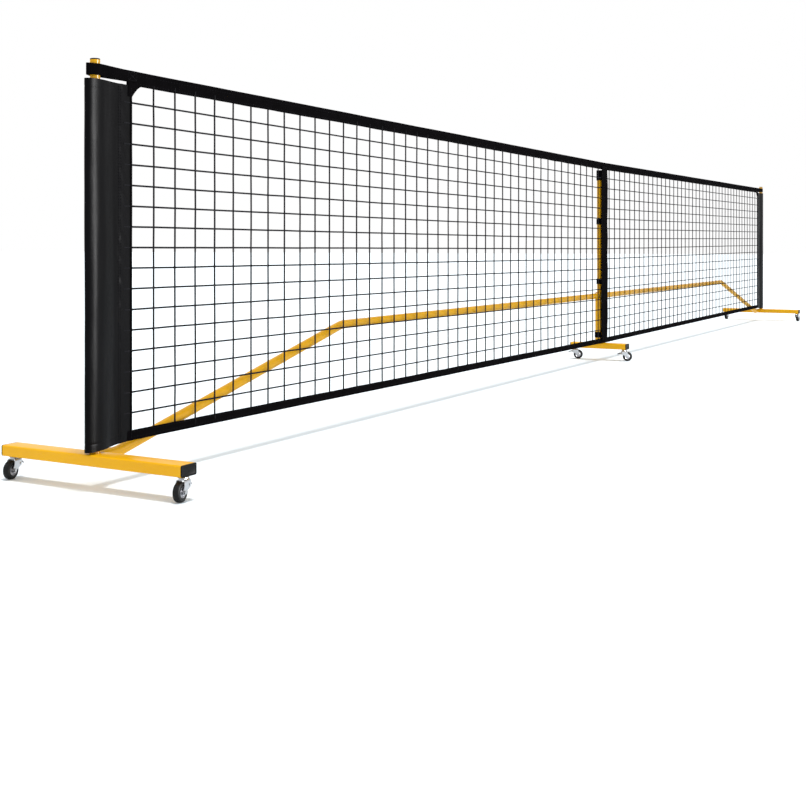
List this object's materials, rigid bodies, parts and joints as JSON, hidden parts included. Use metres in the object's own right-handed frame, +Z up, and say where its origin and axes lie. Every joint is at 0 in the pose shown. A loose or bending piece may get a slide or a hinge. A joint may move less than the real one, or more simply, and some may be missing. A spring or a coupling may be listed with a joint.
{
  "type": "pickleball portable net",
  "caption": "Black mesh net with fabric end sleeves on a yellow steel tube frame, with T-shaped feet on braked swivel casters and a strapped centre post.",
  "frame": {"origin": "on the floor under the middle of the net", "axes": "+X along the net, +Y behind the net, where the frame tubes run, and +Z up"},
  "size_m": [6.7762, 0.5111, 0.926],
  "materials": {
    "yellow_paint": "satin",
    "black_plastic": "matte",
    "net_cord": "matte",
    "black_webbing": "matte",
    "coated_fabric": "satin",
    "chrome_steel": "polished",
    "zinc_steel": "satin",
    "black_rubber": "satin"
  },
  "bodies": {
    "frame": {"left_foot": "yellow_paint", "left_post": "yellow_paint", "left_leg": "yellow_paint", "left_outer_bar": "yellow_paint", "left_inner_bar": "yellow_paint", "left_post_cap": "black_plastic", "left_sleeve": "coated_fabric", "left_tension_strap": "black_webbing", "net_mesh_left": "net_cord", "right_foot": "yellow_paint", "right_post": "yellow_paint", "right_leg": "yellow_paint", "right_outer_bar": "yellow_paint", "right_inner_bar": "yellow_paint", "right_post_cap": "black_plastic", "right_sleeve": "coated_fabric", "right_tension_strap": "black_webbing", "net_mesh_right": "net_cord", "centre_foot": "yellow_paint", "centre_lower_post": "yellow_paint", "centre_upper_post": "yellow_paint", "left_foot_front_cap": "black_plastic", "left_foot_rear_cap": "black_plastic", "right_foot_front_cap": "black_plastic", "right_foot_rear_cap": "black_plastic", "centre_foot_front_cap": "black_plastic", "centre_foot_rear_cap": "black_plastic", "net_top_band": "black_webbing", "net_bottom_band": "black_webbing", "centre_strap": "black_webbing", "centre_top_tie": "black_webbing", "centre_upper_tie": "black_webbing", "centre_lower_tie": "black_webbing", "centre_bottom_tie": "black_webbing"},
    "left_front_fork": {"left_front_caster_fork": "chrome_steel"},
    "left_front_wheel": {"left_front_caster_wheel": "black_rubber"},
    "left_front_brake": {"left_front_caster_brake": "zinc_steel"},
    "left_rear_fork": {"left_rear_caster_fork": "chrome_steel"},
    "left_rear_wheel": {"left_rear_caster_wheel": "black_rubber"},
    "left_rear_brake": {"left_rear_caster_brake": "zinc_steel"},
    "right_front_fork": {"right_front_caster_fork": "chrome_steel"},
    "right_front_wheel": {"right_front_caster_wheel": "black_rubber"},
    "right_front_brake": {"right_front_caster_brake": "zinc_steel"},
    "right_rear_fork": {"right_rear_caster_fork": "chrome_steel"},
    "right_rear_wheel": {"right_rear_caster_wheel": "black_rubber"},
    "right_rear_brake": {"right_rear_caster_brake": "zinc_steel"},
    "centre_front_fork": {"centre_front_caster_fork": "chrome_steel"},
    "centre_front_wheel": {"centre_front_caster_wheel": "black_rubber"},
    "centre_front_brake": {"centre_front_caster_brake": "zinc_steel"},
    "centre_rear_fork": {"centre_rear_caster_fork": "chrome_steel"},
    "centre_rear_wheel": {"centre_rear_caster_wheel": "black_rubber"},
    "centre_rear_brake": {"centre_rear_caster_brake": "zinc_steel"},
    "left_foot_button": {"left_foot_button": "zinc_steel"},
    "left_leg_button": {"left_leg_button": "zinc_steel"},
    "left_bar_button": {"left_bar_button": "zinc_steel"},
    "left_centre_button": {"left_centre_button": "zinc_steel"},
    "right_foot_button": {"right_foot_button": "zinc_steel"},
    "right_leg_button": {"right_leg_button": "zinc_steel"},
    "right_bar_button": {"right_bar_button": "zinc_steel"},
    "right_centre_button": {"right_centre_button": "zinc_steel"}
  },
  "joints": [
    {"name": "left_front_swivel", "type": "hinge", "parent": "frame", "child": "left_front_fork", "pos_m": [-3.353, -0.24, 0.05], "axis": [0, 0, 1], "continuous": true},
    {"name": "left_front_roll", "type": "hinge", "parent": "left_front_fork", "child": "left_front_wheel", "pos_m": [-3.36679, -0.24243, 0.02074], "axis": [0.1736, -0.9848, 0], "continuous": true},
    {"name": "left_front_brake_press", "type": "hinge", "parent": "left_front_fork", "child": "left_front_brake", "pos_m": [-3.34512, -0.23861, 0.033], "axis": [-0.1736, 0.9848, 0], "range_deg": [0, 14]},
    {"name": "left_rear_swivel", "type": "hinge", "parent": "frame", "child": "left_rear_fork", "pos_m": [-3.353, 0.24, 0.05], "axis": [0, 0, 1], "continuous": true},
    {"name": "left_rear_roll", "type": "hinge", "parent": "left_rear_fork", "child": "left_rear_wheel", "pos_m": [-3.36679, 0.23757, 0.02074], "axis": [0.1736, -0.9848, 0], "continuous": true},
    {"name": "left_rear_brake_press", "type": "hinge", "parent": "left_rear_fork", "child": "left_rear_brake", "pos_m": [-3.34512, 0.24139, 0.033], "axis": [-0.1736, 0.9848, 0], "range_deg": [0, 14]},
    {"name": "right_front_swivel", "type": "hinge", "parent": "frame", "child": "right_front_fork", "pos_m": [3.353, -0.24, 0.05], "axis": [0, 0, 1], "continuous": true},
    {"name": "right_front_roll", "type": "hinge", "parent": "right_front_fork", "child": "right_front_wheel", "pos_m": [3.36679, -0.24243, 0.02074], "axis": [0.1736, 0.9848, 0], "continuous": true},
    {"name": "right_front_brake_press", "type": "hinge", "parent": "right_front_fork", "child": "right_front_brake", "pos_m": [3.34512, -0.23861, 0.033], "axis": [-0.1736, -0.9848, 0], "range_deg": [0, 14]},
    {"name": "right_rear_swivel", "type": "hinge", "parent": "frame", "child": "right_rear_fork", "pos_m": [3.353, 0.24, 0.05], "axis": [0, 0, 1], "continuous": true},
    {"name": "right_rear_roll", "type": "hinge", "parent": "right_rear_fork", "child": "right_rear_wheel", "pos_m": [3.36679, 0.23757, 0.02074], "axis": [0.1736, 0.9848, 0], "continuous": true},
    {"name": "right_rear_brake_press", "type": "hinge", "parent": "right_rear_fork", "child": "right_rear_brake", "pos_m": [3.34512, 0.24139, 0.033], "axis": [-0.1736, -0.9848, 0], "range_deg": [0, 14]},
    {"name": "centre_front_swivel", "type": "hinge", "parent": "frame", "child": "centre_front_fork", "pos_m": [0, -0.096, 0.05], "axis": [0, 0, 1], "continuous": true},
    {"name": "centre_front_roll", "type": "hinge", "parent": "centre_front_fork", "child": "centre_front_wheel", "pos_m": [0.00592, -0.10869, 0.02074], "axis": [0.9063, 0.4226, 0], "continuous": true},
    {"name": "centre_front_brake_press", "type": "hinge", "parent": "centre_front_fork", "child": "centre_front_brake", "pos_m": [-0.00338, -0.08875, 0.033], "axis": [-0.9063, -0.4226, 0], "range_deg": [0, 14]},
    {"name": "centre_rear_swivel", "type": "hinge", "parent": "frame", "child": "centre_rear_fork", "pos_m": [0, 0.136, 0.05], "axis": [0, 0, 1], "continuous": true},
    {"name": "centre_rear_roll", "type": "hinge", "parent": "centre_rear_fork", "child": "centre_rear_wheel", "pos_m": [0.00592, 0.12331, 0.02074], "axis": [0.9063, 0.4226, 0], "continuous": true},
    {"name": "centre_rear_brake_press", "type": "hinge", "parent": "centre_rear_fork", "child": "centre_rear_brake", "pos_m": [-0.00338, 0.14325, 0.033], "axis": [-0.9063, -0.4226, 0], "range_deg": [0, 14]},
    {"name": "left_foot_button_press", "type": "slide", "parent": "frame", "child": "left_foot_button", "axis": [0, 0, -1], "range_m": [0, 0.004], "stiffness_N_per_m": 200, "springref_m": -0.002},
    {"name": "left_leg_button_press", "type": "slide", "parent": "frame", "child": "left_leg_button", "axis": [0, 0, -1], "range_m": [0, 0.004], "stiffness_N_per_m": 200, "springref_m": -0.002},
    {"name": "left_bar_button_press", "type": "slide", "parent": "frame", "child": "left_bar_button", "axis": [0, 0, -1], "range_m": [0, 0.004], "stiffness_N_per_m": 200, "springref_m": -0.002},
    {"name": "left_centre_button_press", "type": "slide", "parent": "frame", "child": "left_centre_button", "axis": [0, 0, -1], "range_m": [0, 0.004], "stiffness_N_per_m": 200, "springref_m": -0.002},
    {"name": "right_foot_button_press", "type": "slide", "parent": "frame", "child": "right_foot_button", "axis": [0, 0, -1], "range_m": [0, 0.004], "stiffness_N_per_m": 200, "springref_m": -0.002},
    {"name": "right_leg_button_press", "type": "slide", "parent": "frame", "child": "right_leg_button", "axis": [0, 0, -1], "range_m": [0, 0.004], "stiffness_N_per_m": 200, "springref_m": -0.002},
    {"name": "right_bar_button_press", "type": "slide", "parent": "frame", "child": "right_bar_button", "axis": [0, 0, -1], "range_m": [0, 0.004], "stiffness_N_per_m": 200, "springref_m": -0.002},
    {"name": "right_centre_button_press", "type": "slide", "parent": "frame", "child": "right_centre_button", "axis": [0, 0, -1], "range_m": [0, 0.004], "stiffness_N_per_m": 200, "springref_m": -0.002}
  ]
}
